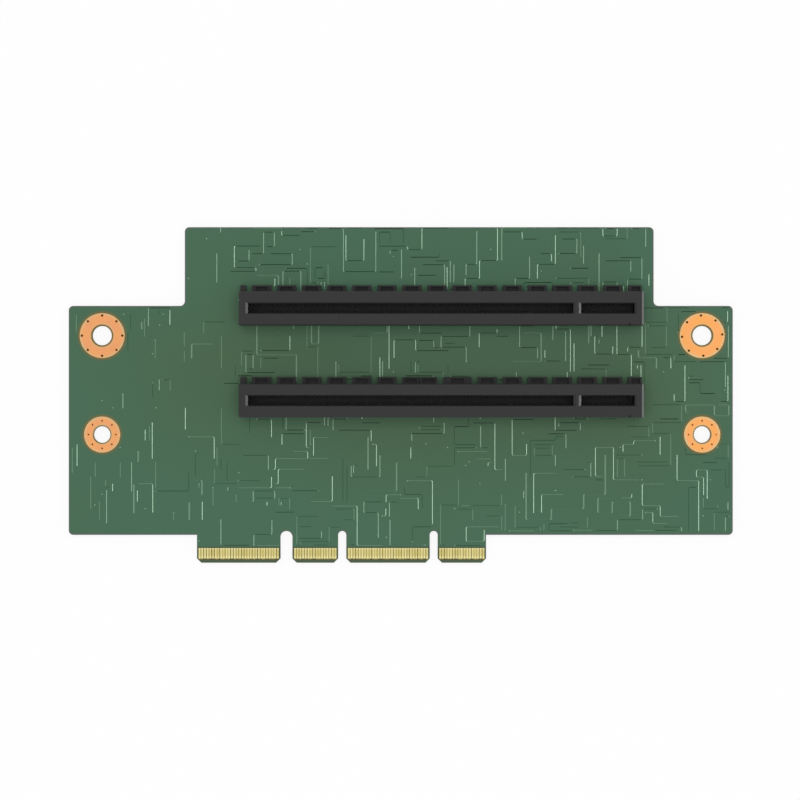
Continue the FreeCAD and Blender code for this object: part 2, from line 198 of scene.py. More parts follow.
# ---- shader writing ---------------------------------------------------------
class Varying:
    """A number that changes over a surface: a node socket that sums can be written with."""

    def __init__(self, shader, socket):
        self.shader = shader
        self.socket = socket

    def reckon(self, operation, *terms):
        """A Math node on these terms."""
        return self.shader.node("ShaderNodeMath", {"operation": operation}, dict(enumerate(terms)))

    def __add__(self, other):
        return self.reckon("ADD", self, other)

    def __radd__(self, other):
        return self.reckon("ADD", other, self)

    def __sub__(self, other):
        return self.reckon("SUBTRACT", self, other)

    def __rsub__(self, other):
        return self.reckon("SUBTRACT", other, self)

    def __mul__(self, other):
        return self.reckon("MULTIPLY", self, other)

    def __rmul__(self, other):
        return self.reckon("MULTIPLY", other, self)

    def above(self, limit):
        """1 beyond the limit and 0 below it."""
        return self.reckon("GREATER_THAN", self, limit)

    def below(self, limit):
        """1 below the limit and 0 beyond it."""
        return self.reckon("LESS_THAN", self, limit)

    def sine(self):
        """Its sine, for patterns that repeat."""
        return self.reckon("SINE", self)

    def between(self, low, high):
        """0 at low, 1 at high, and held there beyond them."""
        ends = {"Value": self, "From Min": low, "From Max": high}
        return self.shader.node("ShaderNodeMapRange", None, ends)


class Shader:
    """The nodes of one material, or of the world."""

    def __init__(self, tree):
        self.tree = tree
        tree.nodes.clear()

    def node(self, kind, settings=None, inputs=None, output=0):
        """Adds one node: its settings first, then the values and links of its sockets."""
        node = self.tree.nodes.new(kind)
        for name, value in (settings or {}).items():
            setattr(node, name, value)
        for name, value in (inputs or {}).items():
            if isinstance(value, Varying):
                self.tree.links.new(value.socket, node.inputs[name])
            else:
                node.inputs[name].default_value = value
        return Varying(self, node.outputs[output]) if node.outputs else None

    def place(self):
        """Where a point lies, in metres, in the card's own frame."""
        return self.node("ShaderNodeTexCoord", output="Object")

    def along(self, axis):
        """One coordinate of the point."""
        return self.node("ShaderNodeSeparateXYZ", None, {0: self.place()}, output=axis)

    def away_from(self, middle):
        """Distance from an upright line through this point."""
        flat = self.node("ShaderNodeVectorMath", {"operation": "MULTIPLY"}, {0: self.place(), 1: (1, 1, 0)})
        ends = {0: flat, 1: (middle.x, middle.y, 0)}
        return self.node("ShaderNodeVectorMath", {"operation": "DISTANCE"}, ends, output="Value")

    def speckle(self, size, detail=2.0, stretch=(1, 1, 1)):
        """Noise between 0 and 1 with patches of about this size."""
        parts = {0: self.place(), 1: tuple(part / size for part in stretch)}
        stretched = self.node("ShaderNodeVectorMath", {"operation": "MULTIPLY"}, parts)
        return self.node("ShaderNodeTexNoise", None, {"Vector": stretched, "Scale": 1.0, "Detail": detail})

    def blend(self, amount, under, over):
        """Colour that goes from under to over as amount goes from 0 to 1."""
        parts = {0: amount, 6: under, 7: over}
        for socket in (6, 7):
            if not isinstance(parts[socket], Varying):
                parts[socket] = (*parts[socket], 1)
        return self.node("ShaderNodeMix", {"data_type": "RGBA"}, parts, output=2)

    def relief(self, height, depth):
        """Normal of a surface that rises by up to this depth."""
        return self.node("ShaderNodeBump", None, {"Height": height, "Strength": 1.0, "Distance": depth})

    def surface(self, inputs):
        """Ends the tree in a Principled surface."""
        body = self.node("ShaderNodeBsdfPrincipled", None, inputs)
        self.node("ShaderNodeOutputMaterial", None, {"Surface": body})


def finish(name):
    """A new material and its shader."""
    material = bpy.data.materials.new(name)
    material.use_nodes = True
    return material, Shader(material.node_tree)


def hues():
    """The colours that the user has set."""
    return bpy.context.scene.riser_finish


# ---- finishes ---------------------------------------------------------------
WEAVE_PITCH = 0.62 * MM                 # distance between the threads of the glass cloth
LAYER_PITCH = 0.26 * MM                 # thickness of one layer of laminate
SKIN = 0.02 * MM                        # how deep the finish of the mask reaches
OPENING = 0.07 * MM                     # how deep the finish of the mask's openings reaches
OLIVE_FADES = (                         # axis, where the olive tint starts and where it is full
    ("Y", -24 * MM, -6 * MM),
    ("Y", 25 * MM, 9 * MM),
    ("X", -74 * MM, -50 * MM),
    ("X", 76 * MM, 50 * MM),
)
# Bands round a screw pad: how far from the copper's edge each is gone, and where it is full.
HALO = (0.62 * MM, 0.08 * MM)           # scorched mask outside the copper
RIM_HIGHLIGHT_OUTSIDE = (0.6 * MM, 0.3 * MM)     # painted highlight: pale copper inside its outer edge
RIM_HIGHLIGHT_INSIDE = (0.5 * MM, 0.2 * MM)      # painted highlight: pale copper round the hole
HOLE_SHADE = (0.18 * MM, 0.06 * MM)           # painted shade on the copper at the hole's edge


def mask_colour(shader):
    """Green of the mask: olive towards the middle and in broad patches, over a fine glass weave."""
    turns = 2 * math.pi / WEAVE_PITCH
    weave = (shader.along("X") * turns).sine() * (shader.along("Y") * turns).sine()
    patches = shader.speckle(38 * MM, detail=1.0).between(0.38, 0.66)
    grain = shader.speckle(1.4 * MM, detail=3.0) - 0.5
    middle = 1.0
    for axis, start, full in OLIVE_FADES:
        middle = shader.along(axis).between(start, full) * middle
    olive = middle * 0.6 + patches * 0.3 + weave * 0.04 + grain * 0.12
    return shader.blend(olive.between(0, 1), hues().mask, hues().mask_olive)


def mask_surface(shader, base, roughness, gloss):
    """Cured lacquer with a faint orange peel."""
    peel = shader.speckle(0.9 * MM, detail=1.0)
    haze = shader.speckle(6 * MM) - 0.5
    shader.surface({
        "Base Color": base,
        "Roughness": roughness + haze * 0.08,
        "Specular IOR Level": gloss,
        "Normal": shader.relief(peel, 0.004 * MM),
    })


def board_finish():
    """Solder mask on both faces, and layered laminate wherever the board is cut or bare."""
    material, shader = finish("board_mask")
    height = shader.along("Z")
    covered = height.above(FRONT - SKIN) + height.below(BACK + SKIN)
    layers = (height * (2 * math.pi / LAYER_PITCH)).sine() * 0.5 + 0.5
    fibres = shader.speckle(0.5 * MM, detail=3.0, stretch=(0.3, 0.3, 3.0))
    bare = shader.blend(layers * 0.55 + fibres * 0.45, hues().laminate_dark, hues().laminate)

    open_face = height.above(FRONT - OPENING) + height.below(BACK + OPENING) - covered
    finger_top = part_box("edge_fingers_1_front")[1].y
    up_card = shader.along("Y")
    across = shader.along("X")
    on_tab = up_card.below(finger_top)
    beside_gold = 0
    for segment in SEGMENTS:
        low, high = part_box("edge_fingers_" + segment + "_front")
        beside_gold = across.above(low.x) * across.below(high.x) + beside_gold
    thin = shader.speckle(0.7 * MM, detail=1.0, stretch=(1, 0.02, 1)).between(0.4, 0.62)
    resin = shader.blend(thin, hues().resin_dark, hues().resin)
    bare = shader.blend(open_face, bare, shader.blend(on_tab, hues().scorched, bare))
    bare = shader.blend(open_face * on_tab * beside_gold, bare, resin)

    above_gold = up_card.between(finger_top + 0.5 * MM, finger_top) * covered
    mask = shader.blend(above_gold, mask_colour(shader), hues().laminate_dark)
    halo = 0
    for middle, _, outer in pad_rings():
        halo = shader.away_from(middle).between(outer + HALO[0], outer + HALO[1]) + halo
    mask = shader.blend(halo * 0.8, mask, hues().scorched)
    mask_surface(shader, shader.blend(covered, bare, mask), 0.62 - covered * 0.24, 0.4)
    return material


def rim_finish():
    """Bare strip that the mask leaves along the outline."""
    material, shader = finish("rim_laminate")
    fibres = shader.speckle(0.5 * MM, detail=3.0)
    darker = [part * 0.7 for part in hues().rim]
    shader.surface({
        "Base Color": shader.blend(fibres, hues().rim, darker),
        "Roughness": 0.55 + fibres * 0.1,
        "Specular IOR Level": 0.3,
    })
    return material


def track_finish():
    """Mask over tracks, toned by leg: towards a painted sheen (partly the paler copper under the mask) or
    towards painted shade.
    """
    material, shader = finish("track_mask")
    tone = shader.node("ShaderNodeAttribute", {"attribute_name": "tone"}, output="Fac")
    lit = shader.blend(tone.between(0, 1), mask_colour(shader), hues().track_sheen)
    base = shader.blend(tone.between(0, -1), lit, hues().track_shade)
    mask_surface(shader, base, 0.38, 0.15)
    return material


def copper_finish():
    """Bare copper, dulled in cloudy patches, with a painted highlight at the rims and painted shade round
    the hole, finely brushed.
    """
    material, shader = finish("pad_copper")
    clouds = shader.speckle(2.4 * MM, detail=3.0).between(0.35, 0.7)
    dull_end = shader.along("X").between(0.03, -0.03)
    brushing = shader.speckle(0.16 * MM, detail=2.0, stretch=(1, 0.08, 1))
    base = shader.blend((clouds * 0.5 + dull_end * 0.5).between(0, 1), hues().copper, hues().copper_dull)
    pale = 0
    bore = 0
    for middle, inner, outer in pad_rings():
        away = shader.away_from(middle)
        this_pad = away.below(outer + MM)
        # painted highlight along the pad's outer rim and round its hole, its strength varied by the random
        # clouds
        pale = away.between(outer - RIM_HIGHLIGHT_OUTSIDE[0], outer - RIM_HIGHLIGHT_OUTSIDE[1]) * this_pad + pale
        pale = away.between(inner + RIM_HIGHLIGHT_INSIDE[0], inner + RIM_HIGHLIGHT_INSIDE[1]) * 0.7 + pale
        # painted shade on the copper at the hole's edge
        bore = away.between(inner + HOLE_SHADE[0], inner + HOLE_SHADE[1]) + bore
    base = shader.blend(pale * (0.45 + clouds * 0.55), base, hues().copper_rim)
    base = shader.blend(bore * 0.7, base, hues().copper_bore)
    shader.surface({
        "Base Color": base,
        "Metallic": 1.0,
        "Roughness": 0.42 + clouds * 0.12 + (brushing - 0.5) * 0.1,
        "Normal": shader.relief(brushing, 0.0015 * MM),
    })
    return material


def via_finish():
    """Resin plug, darker in a fine random grain."""
    material, shader = finish("via_plug")
    grain = shader.speckle(0.12 * MM)
    darker = [part * 0.7 for part in hues().via]
    shader.surface({
        "Base Color": shader.blend(grain, darker, hues().via),
        "Roughness": 0.7,
        "Specular IOR Level": 0.1,
    })
    return material


def gold_finish():
    """Hard gold with fine wipe marks along the fingers, paler at their ends."""
    material, shader = finish("finger_gold")
    low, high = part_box("edge_fingers_1_front")
    up_card = shader.along("Y")
    wipes = shader.speckle(0.09 * MM, detail=2.0, stretch=(1, 0.05, 1))
    worn = shader.speckle(0.9 * MM, detail=1.0, stretch=(1, 0.03, 1)).between(0.38, 0.62)
    base = shader.blend((wipes * 0.4 + worn * 0.8).between(0, 1), hues().gold, hues().gold_dark)
    foot = up_card.between(low.y + 0.7 * MM, low.y + 0.2 * MM)
    head = up_card.between(high.y - 0.5 * MM, high.y)
    shader.surface({
        "Base Color": shader.blend((foot + head) * 0.7, base, hues().gold_pale),
        "Metallic": 1.0,
        "Roughness": 0.3 + wipes * 0.2,
        "Normal": shader.relief(wipes, 0.002 * MM),
    })
    return material


def housing_finish():
    """Matt moulded plastic with glass filler that shows as a fine grain."""
    material, shader = finish("housing_black")
    grain = shader.speckle(0.22 * MM, detail=3.0)
    flow = shader.speckle(5 * MM, detail=2.0, stretch=(0.4, 1, 1)) - 0.5
    lighter = [part * 1.3 for part in hues().housing]
    shader.surface({
        "Base Color": shader.blend((grain * 0.5 + flow * 0.3).between(0, 1), hues().housing, lighter),
        "Roughness": 0.5 + (grain - 0.5) * 0.16 + flow * 0.06,
        "Specular IOR Level": 0.3,
        "Normal": shader.relief(grain, 0.006 * MM),
    })
    return material


def contact_finish():
    """Dull plated spring metal."""
    material, shader = finish("contact_metal")
    stain = shader.speckle(0.8 * MM, detail=2.0)
    darker = [part * 0.6 for part in hues().contact]
    shader.surface({
        "Base Color": shader.blend(stain, hues().contact, darker),
        "Metallic": 0.6,
        "Roughness": 0.5 + stain * 0.2,
    })
    return material


def solder_finish():
    """Reflowed solder, a little grainy."""
    material, shader = finish("solder")
    grain = shader.speckle(0.1 * MM, detail=3.0)
    darker = [part * 0.6 for part in hues().solder]
    shader.surface({
        "Base Color": shader.blend(grain, hues().solder, darker),
        "Metallic": 1.0,
        "Roughness": 0.26 + grain * 0.22,
        "Normal": shader.relief(grain, 0.004 * MM),
    })
    return material


# ---- modelling steps --------------------------------------------------------
NEAR = 0.01 * MM                        # two places closer than this are taken for one


def deselect():
    """Leaves nothing selected, so that an operator acts on its own piece only."""
    bpy.ops.object.select_all(action="DESELECT")


def take_up(*pieces):
    """Selects just these pieces, the last one active."""
    deselect()
    for piece in pieces:
        piece.select_set(True)
    bpy.context.view_layer.objects.active = pieces[-1]


def pick(piece, kind, wanted):
    """In edit mode, selects just the faces or edges that wanted says."""
    bpy.ops.mesh.select_mode(type="FACE" if kind == "faces" else "EDGE")
    bpy.ops.mesh.select_all(action="DESELECT")
    mesh = bmesh.from_edit_mesh(piece.data)
    for part in getattr(mesh, kind):
        if wanted(part):
            part.select_set(True)
    bmesh.update_edit_mesh(piece.data)


def run_modifier(piece, kind, **settings):
    """Adds a modifier and applies it."""
    take_up(piece)
    bpy.ops.object.modifier_add(type=kind)
    modifier = piece.modifiers[-1]
    for name, value in settings.items():
        setattr(modifier, name, value)
    bpy.ops.object.modifier_apply(modifier=modifier.name)


def settle(piece):
    """Moves the piece's place into its mesh."""
    take_up(piece)
    bpy.ops.object.transform_apply(location=True, rotation=True, scale=True)


def copy_to(piece, places):
    """Copies of the piece at these places, each with its own mesh."""
    copies = []
    for place in places:
        take_up(piece)
        bpy.ops.object.duplicate(linked=False)
        copy = bpy.context.object
        copy.location = place
        copies.append(copy)
    return copies


def remove(piece):
    """Takes a piece away that only served as a pattern or a cutter."""
    take_up(piece)
    bpy.ops.object.delete()


def joined(pieces):
    """One piece made of these, with its place in its mesh."""
    take_up(*pieces)
    if len(pieces) > 1:
        bpy.ops.object.join()
    piece = bpy.context.object
    settle(piece)
    return piece


def smooth(piece, degrees):
    """Shades a piece smooth, apart from edges sharper than this angle."""
    take_up(piece)
    bpy.ops.object.shade_smooth_by_angle(angle=math.radians(degrees))


def hand_over(piece, name, material, stands_for=()):
    """Names a finished piece, gives it its finish and ties it to the card."""
    piece.name = name
    piece.data.name = name
    piece.data.materials.clear()
    piece.data.materials.append(material)
    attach(piece, BODY)
    if stands_for:
        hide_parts(*stands_for)


def block(low, high):
    """Box between two corners, ready to be shaped."""
    deselect()
    middle = (Vector(low) + Vector(high)) / 2
    bpy.ops.mesh.primitive_cube_add(size=1, location=middle, scale=Vector(high) - Vector(low))
    piece = bpy.context.object
    settle(piece)
    return piece


# ---- tracks under the mask --------------------------------------------------
QUIET_END = BOARD_LOW.x + 37 * MM       # left of this the board carries only short tracks
LOWER_ZONE = -9 * MM                    # below this the tracks that run across carry less painted shade
# A tone above 0 blends a track towards its sheen colour, partly paler copper and mostly painted sheen from
# the light at the right; below 0 towards painted shade. Upright legs get the sheen, legs across the card
# and the shaded kind get the shade.
TRACK_KINDS = {                         # half width, and tone of the legs up the card and across it
    "fine": (0.068 * MM, 1.0, -1.0),
    "plain": (0.078 * MM, 0.5, -0.9),
    "faint": (0.1 * MM, 0.18, -0.3),
    "wide": (0.16 * MM, 0.25, 0.1),
    "deep": (0.085 * MM, -0.25, -1.0),
}
BUSY_SHARES = {"fine": 34, "plain": 26, "faint": 20, "wide": 5, "deep": 15}    # draws of 100
QUIET_SHARES = {"fine": 10, "plain": 20, "faint": 48, "wide": 12, "deep": 10}
LEG_COUNTS = {1: 24, 2: 22, 3: 26, 4: 12, 5: 10, 7: 6}      # legs of a track, and draws of 100
QUIET_LEG_COUNTS = {1: 8, 2: 2}
UPRIGHT_LEGS = (1, 16, 3)               # least, most and likeliest length of a leg, in cells
QUIET_UPRIGHT_LEGS = (1, 11, 3)
CROSSWISE_LEGS = (2, 11, 5)
FACE_SHARES = {"front": 1.0, "back": 0.6}                   # how busy a face is
SHIFT = 1.4                             # how far a track strays from the grid, in edge rooms
VIA_EVERY = 4                           # one track of so many ends in a covered via
# Covered vias use the track finish at this tone, so they take part of the painted sheen.
VIA_TONE = 0.45
VIA_CORNERS = 12
RIM_RELIEF = 0.1                        # height of the bare rim as a share of half its width
RIM_INSET = 0.52                        # its middle line, as a share of its width from the outline
LOWER_TONE = 0.18                       # painted sheen tone in the lower zone of fine tracks that run across


def spot(cell, settings):
    """Where a grid cell lies: lines of cells are counted down from the top edge."""
    column, line = cell
    return Vector((column * settings.grid, BOARD_HIGH.y - settings.edge_room - line * settings.grid, 0))


def free_cells(face, settings):
    """Grid cells of a face where mask covers flat board all round."""
    level, way = FACES[face]
    board = NODES["circuit_board"]
    side = settings.side_room
    above = settings.edge_room * 0.9
    around = [(dx, dy) for dx in (-side, 0, side) for dy in (-side, 0, above)]

    def masked(x, y):
        hit, place, _, _ = board.ray_cast(Vector((x, y, level + way * MM)), Vector((0, 0, -way)))
        return hit and abs(place.z - level) < NEAR

    columns = int(BOARD_HIGH.x / settings.grid)
    lines = int((BOARD_HIGH.y - BOARD_LOW.y) / settings.grid)
    cells = set()
    for column in range(-columns, columns + 1):
        for line in range(lines + 1):
            place = spot((column, line), settings)
            if all(masked(place.x + dx, place.y + dy) for dx, dy in around):
                cells.add((column, line))
    return cells


def drawn(dice, shares):
    """One of the keys, drawn as often as its share says."""
    return dice.choices(list(shares), weights=list(shares.values()))[0]


def leg_plan(dice, quiet):
    """Directions and lengths, in cells, of one track's legs."""
    legs = drawn(dice, LEG_COUNTS)
    upright = dice.random() < 0.5
    upright_legs = UPRIGHT_LEGS
    if quiet:
        legs = drawn(dice, QUIET_LEG_COUNTS)
        upright = True
        upright_legs = QUIET_UPRIGHT_LEGS
    plan = []
    for _ in range(legs):
        step = dice.choice((-1, 1))
        if upright:
            plan.append(((0, step), round(dice.triangular(*upright_legs))))
        else:
            plan.append(((step, 0), round(dice.triangular(*CROSSWISE_LEGS))))
        upright = not upright
    return plan


def walk(start, plan, free):
    """Corners of a track that starts here, and the cells that it takes up."""
    if start not in free:
        return [], set()
    corners = [start]
    taken = {start}
    here = start
    for (dx, dy), cells in plan:
        for _ in range(cells):
            ahead = (here[0] + dx, here[1] + dy)
            if ahead not in free or ahead in taken:
                break
            here = ahead
            taken.add(here)
        if here == corners[-1]:
            break
        corners.append(here)
    return corners, taken


def routes(face, settings):
    """Tracks of one face, each as (kind, corners in metres), and the places of its covered vias."""
    dice = random.Random(settings.seed + (face == "back"))
    free = free_cells(face, settings)
    found = []
    busy = sorted(cell for cell in free if spot(cell, settings).x > QUIET_END)
    calm = sorted(cell for cell in free if spot(cell, settings).x < QUIET_END)
    calm += [cell for cell in calm if spot(cell, settings).y < LOWER_ZONE]      # twice as likely there
    edge = [(column, line) for column, line in busy if not {(column, line - 1), (column, line + 1)} <= free]
    batches = (
        (edge, False, settings.edge_chains),
        (busy, False, settings.chains),
        (calm, True, settings.dashes),
    )
    for starts, quiet, tries in batches:
        for _ in range(int(tries * FACE_SHARES[face])):
            start = dice.choice(starts)
            plan = leg_plan(dice, quiet)
            kind = drawn(dice, QUIET_SHARES if quiet else BUSY_SHARES)
            shift = Vector((dice.uniform(-SHIFT, SHIFT), dice.uniform(-SHIFT, 0), 0)) * settings.edge_room
            corners, taken = walk(start, plan, free)
            if len(corners) > 1:
                free -= taken
                found.append((kind, [spot(corner, settings) + shift for corner in corners]))
    vias = [corners[-1] for kind, corners in found[::VIA_EVERY] if kind != "wide"]
    loose = dice.sample(sorted(free), int(settings.loose_vias * FACE_SHARES[face]))
    return found, vias + [spot(cell, settings) for cell in loose]


def cut_corners(corners, cut):
    """The same track with each turn taken across its corner."""
    points = [corners[0]]
    for before, corner, after in zip(corners, corners[1:], corners[2:]):
        points.append(corner + (before - corner).normalized() * cut)
        points.append(corner + (after - corner).normalized() * cut)
    points.append(corners[-1])
    return points


def ridges(lines, radius, relief):
    """Half-sunk ridges along these lines, as one mesh on Z = 0."""
    deselect()
    bpy.ops.curve.primitive_nurbs_path_add()
    piece = bpy.context.object
    curve = piece.data
    curve.splines.clear()
    for points in lines:
        spline = curve.splines.new("POLY")
        spline.points.add(len(points) - 1)
        for point, place in zip(spline.points, points):
            point.co = (place.x, place.y, 0, 1)
    curve.bevel_depth = radius
    curve.bevel_resolution = 1
    curve.use_fill_caps = True
    bpy.ops.object.convert(target="MESH")
    piece = bpy.context.object
    bpy.ops.object.mode_set(mode="EDIT")
    bpy.ops.mesh.select_mode(type="VERT")
    bpy.ops.mesh.select_all(action="SELECT")
    bpy.ops.mesh.remove_doubles(threshold=NEAR / 10)
    bpy.ops.transform.resize(value=(1, 1, relief), center_override=(0, 0, 0))
    bpy.ops.mesh.normals_make_consistent(inside=False)
    bpy.ops.object.mode_set(mode="OBJECT")
    return piece


def tone_of(mesh, face, up_card, across):
    """Tone of one face of a track, by the way its leg runs: painted sheen on upright legs, painted shade on
    legs across the card, less of it in the lower zone.
    """
    corners = [mesh.vertices[index].co for index in face.vertices]
    sides = [second - first for first, second in zip(corners, corners[1:] + corners[:1])]
    longest = max(sides, key=lambda side: side.length)
    if abs(longest.y) >= abs(longest.x):
        return up_card
    if face.center.y < LOWER_ZONE:
        return across * 0.5 if up_card < 1 else LOWER_TONE
    return across


def board_tracks(face, tracks, material):
    """All tracks of one face of the board."""
    settings = bpy.context.scene.riser_tracks
    layers = []
    for kind, (radius, up_card, across) in TRACK_KINDS.items():
        lines = [cut_corners(corners, settings.corner) for own_kind, corners in tracks if own_kind == kind]
        layer = ridges(lines, radius, settings.relief)
        mesh = layer.data
        tone = mesh.attributes.new("tone", "FLOAT", "FACE")
        for part in mesh.polygons:
            tone.data[part.index].value = tone_of(mesh, part, up_card, across)
        layers.append(layer)
    for layer in layers:
        layer.location.z = FACES[face][0]
    piece = joined(layers)
    smooth(piece, 40)
    hand_over(piece, "board_tracks_" + face, material)


def outline(face):
    """Corners in order along the outermost edge of one face's mask."""
    level, way = FACES[face]
    mesh = NODES["circuit_board"].data
    seen_once = set()
    for part in mesh.polygons:
        if part.normal.z * way > 0.9 and abs(part.center.z - level) < NEAR / 2:
            seen_once ^= set(part.edge_keys)
    neighbours = {}
    for first, second in seen_once:
        neighbours.setdefault(first, []).append(second)
        neighbours.setdefault(second, []).append(first)
    start = min(neighbours, key=lambda index: mesh.vertices[index].co.x)
    loop = [start]
    ahead = neighbours[start][0]
    while ahead != start:
        back = loop[-1]
        loop.append(ahead)
        ahead = next(index for index in neighbours[ahead] if index != back)
    return [mesh.vertices[index].co.xy for index in loop]


def drawn_in(loop, inset):
    """The same loop moved inwards by this much."""
    after = loop[1:] + loop[:1]
    area = sum(here.cross(there) for here, there in zip(loop, after))
    inwards = 1 if area > 0 else -1
    moved = []
    for before, here, there in zip(loop[-1:] + loop[:-1], loop, after):
        first = (here - before).normalized()
        second = (there - here).normalized()
        sides = [Vector((-way.y, way.x)) * inwards for way in (first, second)]
        bisector = (sides[0] + sides[1]).normalized()
        sharpest = 0.3
        moved.append(here + bisector * inset / max(sharpest, bisector.dot(sides[0])))
    return moved


def bare_rim(face, material):
    """Narrow strip of bare laminate along the outline, down to the fingers."""
    settings = bpy.context.scene.riser_tracks
    finger_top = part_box("edge_fingers_1_front")[1].y
    loop = drawn_in(outline(face), settings.rim * RIM_INSET)
    cut = min(range(len(loop)), key=lambda index: loop[index].y)
    lines = [[]]
    for point in loop[cut:] + loop[:cut + 1]:
        if point.y > finger_top + settings.rim:
            lines[-1].append(point)
        elif lines[-1]:
            lines.append([])
    piece = ridges([points for points in lines if len(points) > 1], settings.rim / 2, RIM_RELIEF)
    piece.location.z = FACES[face][0]
    settle(piece)
    smooth(piece, 40)
    hand_over(piece, "board_rim_" + face, material)


def covered_vias(face, places, material):
    """Small covered vias of one face of the board."""
    level, way = FACES[face]
    radius = bpy.context.scene.riser_tracks.via_radius
    height = bpy.context.scene.riser_tracks.via_height
    collar = radius * 0.55
    dimple = height * 0.8
    deselect()
    bpy.ops.mesh.primitive_cylinder_add(vertices=VIA_CORNERS, radius=radius, depth=2 * height)
    dome = bpy.context.object
    bpy.ops.object.mode_set(mode="EDIT")
    pick(dome, "faces", lambda part: part.normal.z * way > 0.5)
    bpy.ops.mesh.inset(thickness=collar)
    bpy.ops.transform.translate(value=(0, 0, -way * dimple))
    pick(dome, "edges", lambda part: all(corner.co.z * way > 0.9 * height for corner in part.verts))
    bpy.ops.mesh.bevel(offset=radius * 0.3, segments=2)
    bpy.ops.object.mode_set(mode="OBJECT")
    vias = copy_to(dome, [Vector((place.x, place.y, level)) for place in places])
    remove(dome)
    piece = joined(vias)
    tone = piece.data.attributes.new("tone", "FLOAT", "FACE")
    for part in piece.data.polygons:
        tone.data[part.index].value = VIA_TONE
    smooth(piece, 50)
    hand_over(piece, "board_vias_" + face, material)


# ---- screw pads -------------------------------------------------------------
RING_CORNERS = 96                       # corners of a pad's circles
DRILL_CORNERS = 20
PLUG_CORNERS = 16
TWIST = 0.06                            # turn of the vias at the upper right pads, in radians
PLUG_FIT = 0.97                         # radius of a plug as a share of its hole's
PLUG_HEIGHT = 0.7                       # height of a plug as a share of the copper's
PLUG_DISH = 0.3                         # depth of its dish, as a share of the copper's height
PLUG_LIP = 0.4                          # width of the dish's slope, as a share of the hole's radius


def pad_shape(node):
    """Middle of a screw pad on its lower side, its inner and outer radius and its top."""
    low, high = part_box(node)
    middle = Vector(((low.x + high.x) / 2, (low.y + high.y) / 2, low.z))
    reaches = [(vertex.co.xy - middle.xy).length for vertex in NODES[node].data.vertices]
    return middle, min(reaches), max(reaches), high.z


def pad_rings():
    """Middle, inner radius and outer radius of each screw pad of the front face."""
    nodes = sorted(name for name in NODES if name.startswith("screw_pad_") and name.endswith("front"))
    return [pad_shape(node)[:3] for node in nodes]


def screw_pad(node, material):
    """Copper ring with via holes, in place of the plain one."""
    settings = bpy.context.scene.riser_pads
    middle, inner, outer, top = pad_shape(node)
    outer -= settings.relief
    thickness = top - middle.z
    upper = "upper" in node
    via_radius = settings.via_radius if upper else settings.small_via_radius
    share = settings.via_circle if upper else settings.small_via_circle
    circle = inner + (outer - inner) * share

    deselect()
    bpy.ops.mesh.primitive_circle_add(vertices=RING_CORNERS, radius=inner, location=middle)
    ring = bpy.context.object
    bpy.ops.object.mode_set(mode="EDIT")
    bpy.ops.mesh.select_mode(type="VERT")
    bpy.ops.mesh.select_all(action="SELECT")
    bpy.ops.mesh.extrude_region_move()
    bpy.ops.transform.resize(value=(outer / inner, outer / inner, 1), center_override=middle)
    bpy.ops.mesh.select_all(action="SELECT")
    bpy.ops.mesh.extrude_region_move(TRANSFORM_OT_translate={"value": (0, 0, thickness)})
    bpy.ops.mesh.select_all(action="SELECT")
    bpy.ops.mesh.normals_make_consistent(inside=False)
    bpy.ops.object.mode_set(mode="OBJECT")
    settle(ring)

    turn = TWIST if "right" in node and upper else 0
    places = []
    for index in range(settings.vias):
        angle = turn + index * 2 * math.pi / settings.vias
        places.append(middle + Vector((circle * math.cos(angle), circle * math.sin(angle), thickness / 2)))

    deselect()
    bpy.ops.mesh.primitive_cylinder_add(vertices=DRILL_CORNERS, radius=via_radius, depth=4 * thickness)
    drill = bpy.context.object
    drills = joined(copy_to(drill, places))
    remove(drill)
    run_modifier(ring, "BOOLEAN", operation="DIFFERENCE", object=drills, solver="EXACT")
    remove(drills)
    sharp = math.radians(50)
    run_modifier(ring, "BEVEL", width=settings.edge, segments=1, limit_method="ANGLE", angle_limit=sharp)
    smooth(ring, 35)
    hand_over(ring, "copper_" + node, material, [node])
    return places, via_radius, thickness


def via_plugs(face, plans, material):
    """Dished resin plugs in the via holes of one face's pads."""
    way = FACES[face][1]
    plugs = []
    for places, radius, thickness in plans:
        deselect()
        bpy.ops.mesh.primitive_cylinder_add(
            vertices=PLUG_CORNERS, radius=radius * PLUG_FIT, depth=thickness * PLUG_HEIGHT
        )
        plug = bpy.context.object
        bpy.ops.object.mode_set(mode="EDIT")
        pick(plug, "faces", lambda part: part.normal.z * way > 0.5)
        bpy.ops.mesh.inset(thickness=radius * PLUG_LIP)
        bpy.ops.transform.translate(value=(0, 0, -way * thickness * PLUG_DISH))
        bpy.ops.object.mode_set(mode="OBJECT")
        sunk = Vector((0, 0, way * thickness * (1 - PLUG_HEIGHT) / 2))
        plugs += copy_to(plug, [place - sunk for place in places])
        remove(plug)
    piece = joined(plugs)
    smooth(piece, 40)
    hand_over(piece, "pad_vias_" + face, material)


# ---- inside the card slots --------------------------------------------------
SPARE = 0.06 * MM                       # solder beside a foot, and land beside the solder


def contact_row(slot, section, letter):
    """Lowest and highest corner of a row of contacts, and how many it has."""
    settings = bpy.context.scene.riser_chambers
    low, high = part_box("slot_contacts_" + slot + "_" + section + "_row_" + letter)
    count = round((high.x - low.x - settings.contact_width) / settings.pitch) + 1
    return low, high, count


